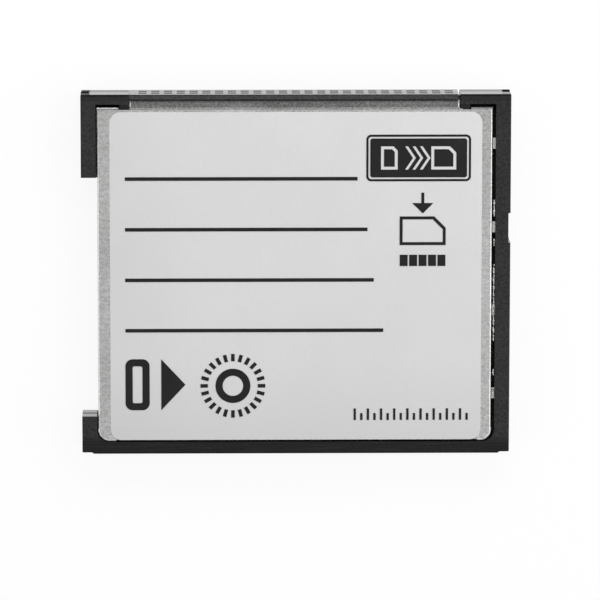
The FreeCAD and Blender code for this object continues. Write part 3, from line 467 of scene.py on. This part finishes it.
blackInk = {
    "solid": tone(0.003), "thin": tone(0.014), "roughness": 0.55, "specular": 0.35, "pinhole": 0.00008,
    "cloud": 0.002, "pinholePart": 0.7, "from": 0.5, "full": 0.75, "gloss": 0.2,
}


# Printing ink, a little thin in fine specks
def printInk():
    look = blackInk
    finish = Finish("printInk")
    specks = finish.noise(look["pinhole"], detail=3)
    cloud = finish.noise(look["cloud"])
    mask = finish.band(finish.share(specks, look["pinholePart"], cloud), look["from"], look["full"])
    colour = finish.blend(mask, look["solid"], look["thin"])
    return finish.surface(colour=colour, roughness=look["roughness"] + finish.swing(specks, look["gloss"]),
                          specular=look["specular"])


platedMetal = {
    "goldPlate": {"dark": tone(0.72, 0.5, 0.2), "light": tone(0.85, 0.64, 0.3), "roughness": 0.22},
    "springBronze": {"dark": tone(0.6, 0.38, 0.2), "light": tone(0.76, 0.52, 0.3), "roughness": 0.26},
    "canNickel": {"dark": tone(0.58, 0.56, 0.52), "light": tone(0.68, 0.66, 0.62), "roughness": 0.24},
}
plating = {"stain": 0.0008, "lines": 0.00004, "stretch": (12, 1, 1), "from": 0.35, "full": 0.65,
           "stainGloss": 0.2, "lineGloss": 0.06, "depth": 0.0000008}


# Plated or bare sheet metal, with lines left by the rolls and stains that dull it in places
def platedSheet(name):
    look = platedMetal[name]
    finish = Finish(name)
    stain = finish.noise(plating["stain"], detail=4)
    lines = finish.noise(plating["lines"], plating["stretch"])
    colour = finish.blend(finish.band(stain, plating["from"], plating["full"]), look["dark"], look["light"])
    roughness = (look["roughness"] + finish.swing(stain, plating["stainGloss"])
                 + finish.swing(lines, plating["lineGloss"]))
    return finish.surface(colour=colour, metallic=1, roughness=roughness,
                          normal=finish.bump(lines, plating["depth"]))


# Each track is a ring round a cell's middle, and the four numbers say where it rises and falls
greenMask = {
    "mask": tone(0.008, 0.07, 0.03), "track": tone(0.02, 0.14, 0.06), "pitch": 0.0011, "stray": 0.6,
    "ring": (0.32, 0.36, 0.44, 0.48), "depth": 0.00002, "cloud": 0.0015, "roughness": 0.22, "gloss": 0.1,
    "coat": 0.4,
}


# Green solder mask over raised tracks
def solderMask():
    look = greenMask
    finish = Finish("solderMask")
    cells = finish.node("ShaderNodeTexVoronoi", {"distance": "CHEBYCHEV"},
                        {"Vector": finish.place, "Scale": 1 / look["pitch"], "Randomness": look["stray"]})
    rise, top, edge, foot = look["ring"]
    raised = finish.band(cells, rise, top) * (1 - finish.band(cells, edge, foot))
    cloud = finish.noise(look["cloud"], detail=3)
    colour = finish.blend(raised, look["mask"], look["track"])
    return finish.surface(colour=colour, roughness=look["roughness"] + finish.swing(cloud, look["gloss"]),
                          coat=look["coat"], normal=finish.bump(raised, look["depth"]))


packages = {
    "chipEpoxy": {"body": tone(0.016), "speck": tone(0.035), "node": "controller_chip", "axis": "Y",
                  "ends": 0},
    "regulatorEpoxy": {"body": tone(0.014), "speck": tone(0.03), "node": "regulator_chip", "axis": "Y",
                       "ends": 0.0004},
    "capacitorTan": {"body": tone(0.3, 0.2, 0.12), "speck": tone(0.4, 0.29, 0.19),
                     "node": "chip_capacitors", "axis": "X", "ends": 0.0003},
    "resistorBlack": {"body": tone(0.02, 0.02, 0.022), "speck": tone(0.04), "node": "chip_resistors",
                      "axis": "X", "ends": 0.0003},
}
filledBody = {"speck": 0.00006, "cloud": 0.0006, "from": 0.5, "full": 0.7, "roughness": 0.5,
              "gloss": 0.2, "depth": 0.000002}
solderTin = {"colour": tone(0.62, 0.62, 0.6), "roughness": 0.3}


# Filled epoxy or ceramic with fine specks, and bright tin on its two ends
def chipPackage(name):
    look = packages[name]
    finish = Finish(name)
    specks = finish.noise(filledBody["speck"], detail=3)
    cloud = finish.noise(filledBody["cloud"])
    body = finish.blend(finish.band(specks, filledBody["from"], filledBody["full"]),
                        look["body"], look["speck"])
    tin = finish.ends(look["axis"], look["node"], look["ends"])
    colour = finish.blend(tin, body, solderTin["colour"])
    roughness = (filledBody["roughness"] + finish.swing(cloud, filledBody["gloss"])
                 - tin * (filledBody["roughness"] - solderTin["roughness"]))
    return finish.surface(colour=colour, metallic=tin, roughness=roughness,
                          normal=finish.bump(specks, filledBody["depth"]))


amberSheet = {
    "thick": tone(0.36, 0.15, 0.02), "thin": tone(0.5, 0.24, 0.04), "roughness": 0.25, "drawn": 0.0006,
    "stretch": (1, 14, 1), "cloud": 0.003, "drawnPart": 0.7, "from": 0.35, "full": 0.65, "gloss": 0.12,
    "depth": 0.000003,
}


# Amber insulating film with faint draw lines
def amberFilm():
    look = amberSheet
    finish = Finish("amberFilm")
    drawn = finish.noise(look["drawn"], look["stretch"], detail=3)
    cloud = finish.noise(look["cloud"])
    mask = finish.band(finish.share(drawn, look["drawnPart"], cloud), look["from"], look["full"])
    colour = finish.blend(mask, look["thick"], look["thin"])
    return finish.surface(colour=colour, roughness=look["roughness"] + finish.swing(cloud, look["gloss"]),
                          normal=finish.bump(drawn, look["depth"]))


paintedGlint = {"bright": tone(0.9), "paintedDimTone": tone(0.75), "roughness": 0.4, "grain": 0.00005, "from": 0.35,
               "full": 0.65, "metal": 0.3, "gloss": 0.2}


# Pale matt steel, a painted highlight on the edge of the cover's tongue, a little dimmer in fine grain
def paintedHighlightSteel():
    look = paintedGlint
    finish = Finish("paintedHighlightSteel")
    grain = finish.noise(look["grain"], detail=3)
    colour = finish.blend(finish.band(grain, look["from"], look["full"]), look["bright"], look["paintedDimTone"])
    return finish.surface(colour=colour, metallic=grain * look["metal"],
                          roughness=look["roughness"] + finish.swing(grain, look["gloss"]))


finishes = {
    "frame": mouldedBlack("frameBlack"),
    "connector_housing": mouldedBlack("socketBlack"),
    "card_contact_block": mouldedBlack("carrierBlack"),
    "back_cover": rolledSteel(),
    "back_label": labelFilm(),
    "label_print": printInk(),
    "connector_contacts_upper": platedSheet("goldPlate"),
    "card_detect_leaf": platedSheet("springBronze"),
    "crystal": platedSheet("canNickel"),
    "circuit_board": solderMask(),
    "controller_chip": chipPackage("chipEpoxy"),
    "regulator_chip": chipPackage("regulatorEpoxy"),
    "chip_capacitors": chipPackage("capacitorTan"),
    "chip_resistors": chipPackage("resistorBlack"),
    "upper_insulating_film": amberFilm(),
    "tongue_rim_painted_highlight": paintedHighlightSteel(),
}
sameFinish = {
    "front_cover": "back_cover", "connector_contacts_lower": "connector_contacts_upper",
    "card_contacts": "connector_contacts_upper", "card_detect_contact": "card_detect_leaf",
    "write_protect_leaf": "card_detect_leaf", "write_protect_contact": "card_detect_leaf",
    "lower_insulating_film": "upper_insulating_film",
}
for node, other in sameFinish.items():
    finishes[node] = finishes[other]


def dressNodes():
    for node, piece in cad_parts.items():
        if not piece.material_slots:
            piece.data.materials.append(finishes[node])
        for place in piece.material_slots:
            place.material = finishes[node]


dressNodes()
print("CAD nodes dressed")


# Burrs of steel that the cover's lances shaved up in the gap beside the cover, in millimetres.
# Each run has its two ends along the card, the burrs' size and how many there are. A burr's shape is
# for a size of 1, and wander is how far the burrs stray across, along and up.
burrs = {
    "across": 19.77, "height": 3.12,
    "runs": [
        {"from": 7.4, "to": 5.95, "size": 0.085, "count": 7},
        {"from": 3.4, "to": 2.95, "size": 0.07, "count": 3},
        {"from": 0.9, "to": -6.6, "size": 0.075, "count": 33},
        {"from": -9.8, "to": -10.2, "size": 0.07, "count": 3},
        {"from": -12.0, "to": -12.2, "size": 0.08, "count": 2},
    ],
    "shapes": 5, "dents": 0.35, "length": 1.6, "longer": 0.2, "flat": 0.7,
    "wander": (0.015, 0.04, 0.05), "wanderStep": 2.4, "swell": 0.3, "swellStep": 1.7,
}


def deselectAll():
    if bpy.context.object and bpy.context.object.mode != "OBJECT":
        bpy.ops.object.mode_set(mode="OBJECT")
    bpy.ops.object.select_all(action="DESELECT")


def burrShape(seed):
    deselectAll()
    bpy.ops.mesh.primitive_ico_sphere_add(subdivisions=2, radius=1 / perMetre, location=(0, 0, 0))
    shape = bpy.context.object
    bpy.ops.object.mode_set(mode="EDIT")
    bpy.ops.mesh.select_all(action="SELECT")
    bpy.ops.transform.vertex_random(offset=burrs["dents"] / perMetre, seed=seed)
    bpy.ops.transform.resize(value=(1, burrs["length"] + burrs["longer"] * seed, burrs["flat"]))
    bpy.ops.object.mode_set(mode="OBJECT")
    return shape


def makeBurrs():
    shapes = [burrShape(seed) for seed in range(burrs["shapes"])]
    sideways, lengthways, upwards = burrs["wander"]
    pieces = []
    for turn, run in enumerate(burrs["runs"]):
        for place in range(run["count"]):
            step = place / max(run["count"] - 1, 1)
            wave = math.sin(place * burrs["wanderStep"] + turn)
            size = run["size"] * (1 + burrs["swell"] * math.sin(place * burrs["swellStep"] + turn * 2))
            spot = (burrs["across"] + sideways * wave,
                    run["from"] + (run["to"] - run["from"]) * step + lengthways * wave,
                    burrs["height"] + upwards * wave)
            deselectAll()
            shape = shapes[(place * 2 + turn) % len(shapes)]
            shape.select_set(True)
            bpy.context.view_layer.objects.active = shape
            bpy.ops.object.duplicate()
            bpy.ops.transform.resize(value=(size, size, size))
            bpy.ops.transform.translate(value=[part / perMetre for part in spot])
            pieces.append(bpy.context.object)
    deselectAll()
    for shape in shapes:
        bpy.data.objects.remove(shape)
    for piece in pieces:
        piece.select_set(True)
    bpy.context.view_layer.objects.active = pieces[0]
    bpy.ops.object.join()
    piece = bpy.context.object
    piece.name = "gap_burrs"
    bpy.ops.object.transform_apply(location=True, rotation=True, scale=True)
    bpy.ops.object.shade_smooth()
    piece.data.materials.clear()
    piece.data.materials.append(finishes["back_cover"])
    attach(piece, "root")


# A pale tube along the edge of the cover's tongue, where it stands up beside the right front block and
# turns round its foot: a painted highlight for the light that edge catches. Each spot is across, along
# and up, in millimetres.
tongueRim = {
    "spots": [(16.15, 17.56, 3.0), (16.15, 17.3, 3.06), (16.155, 17.05, 3.11), (16.2, 16.86, 3.14),
              (16.28, 16.74, 3.15), (16.42, 16.68, 3.15), (16.66, 16.66, 3.15)],
    "radius": 0.055, "sides": 8, "taper": 0.6,
}


# The way from one spot to the next, as an angle seen from above
def heading(first, second):
    return math.atan2(second[1] - first[1], second[0] - first[0])


def makeTongueRim():
    spots = [Vector(spot) / perMetre for spot in tongueRim["spots"]]
    last = len(spots) - 1
    deselectAll()
    bpy.ops.mesh.primitive_circle_add(vertices=tongueRim["sides"], radius=tongueRim["radius"] / perMetre,
                                      fill_type="NGON", location=spots[0], rotation=(math.pi / 2, 0, 0))
    piece = bpy.context.object
    piece.name = "tongue_rim_painted_highlight"
    bpy.ops.object.transform_apply(location=True, rotation=True, scale=True)
    bpy.ops.object.mode_set(mode="EDIT")
    bpy.ops.mesh.select_all(action="SELECT")
    for place in range(1, last + 1):
        bpy.ops.mesh.extrude_region_move(
            TRANSFORM_OT_translate={"value": spots[place] - spots[place - 1]})
        if place < last:
            turn = heading(spots[place], spots[place + 1]) - heading(spots[place - 1], spots[place])
            bpy.ops.transform.rotate(value=-turn, orient_axis="Z", center_override=spots[place])
    bpy.ops.transform.resize(value=(tongueRim["taper"],) * 3, center_override=spots[last])
    bpy.ops.mesh.select_all(action="SELECT")
    bpy.ops.mesh.normals_make_consistent(inside=False)
    bpy.ops.object.mode_set(mode="OBJECT")
    bpy.ops.object.shade_smooth()
    piece.data.materials.append(finishes["tongue_rim_painted_highlight"])
    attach(piece, "root")


# A thin black plastic sheet that closes the top of the gap between the right front block and the lip, a
# painted shade for the dark inside that gap. Its middle is across, along and up, and its corners are cut
# back, all in millimetres.
gapShadeSheet = {"middle": (16.24, 17.86, 3.1), "size": (0.2, 0.5, 0.14), "cut": 0.03}


def makeGapShadeSheet():
    deselectAll()
    bpy.ops.mesh.primitive_cube_add(size=1 / perMetre, location=Vector(gapShadeSheet["middle"]) / perMetre)
    piece = bpy.context.object
    piece.name = "block_gap_painted_shade"
    bpy.ops.transform.resize(value=gapShadeSheet["size"])
    bpy.ops.object.transform_apply(location=True, rotation=True, scale=True)
    bpy.ops.object.mode_set(mode="EDIT")
    bpy.ops.mesh.select_all(action="SELECT")
    bpy.ops.mesh.bevel(offset=gapShadeSheet["cut"] / perMetre, segments=2, affect="EDGES")
    bpy.ops.object.mode_set(mode="OBJECT")
    bpy.ops.object.shade_smooth()
    piece.data.materials.append(finishes["frame"])
    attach(piece, "root")


makeBurrs()
makeTongueRim()
makeGapShadeSheet()
print("burrs, rim and flash made")
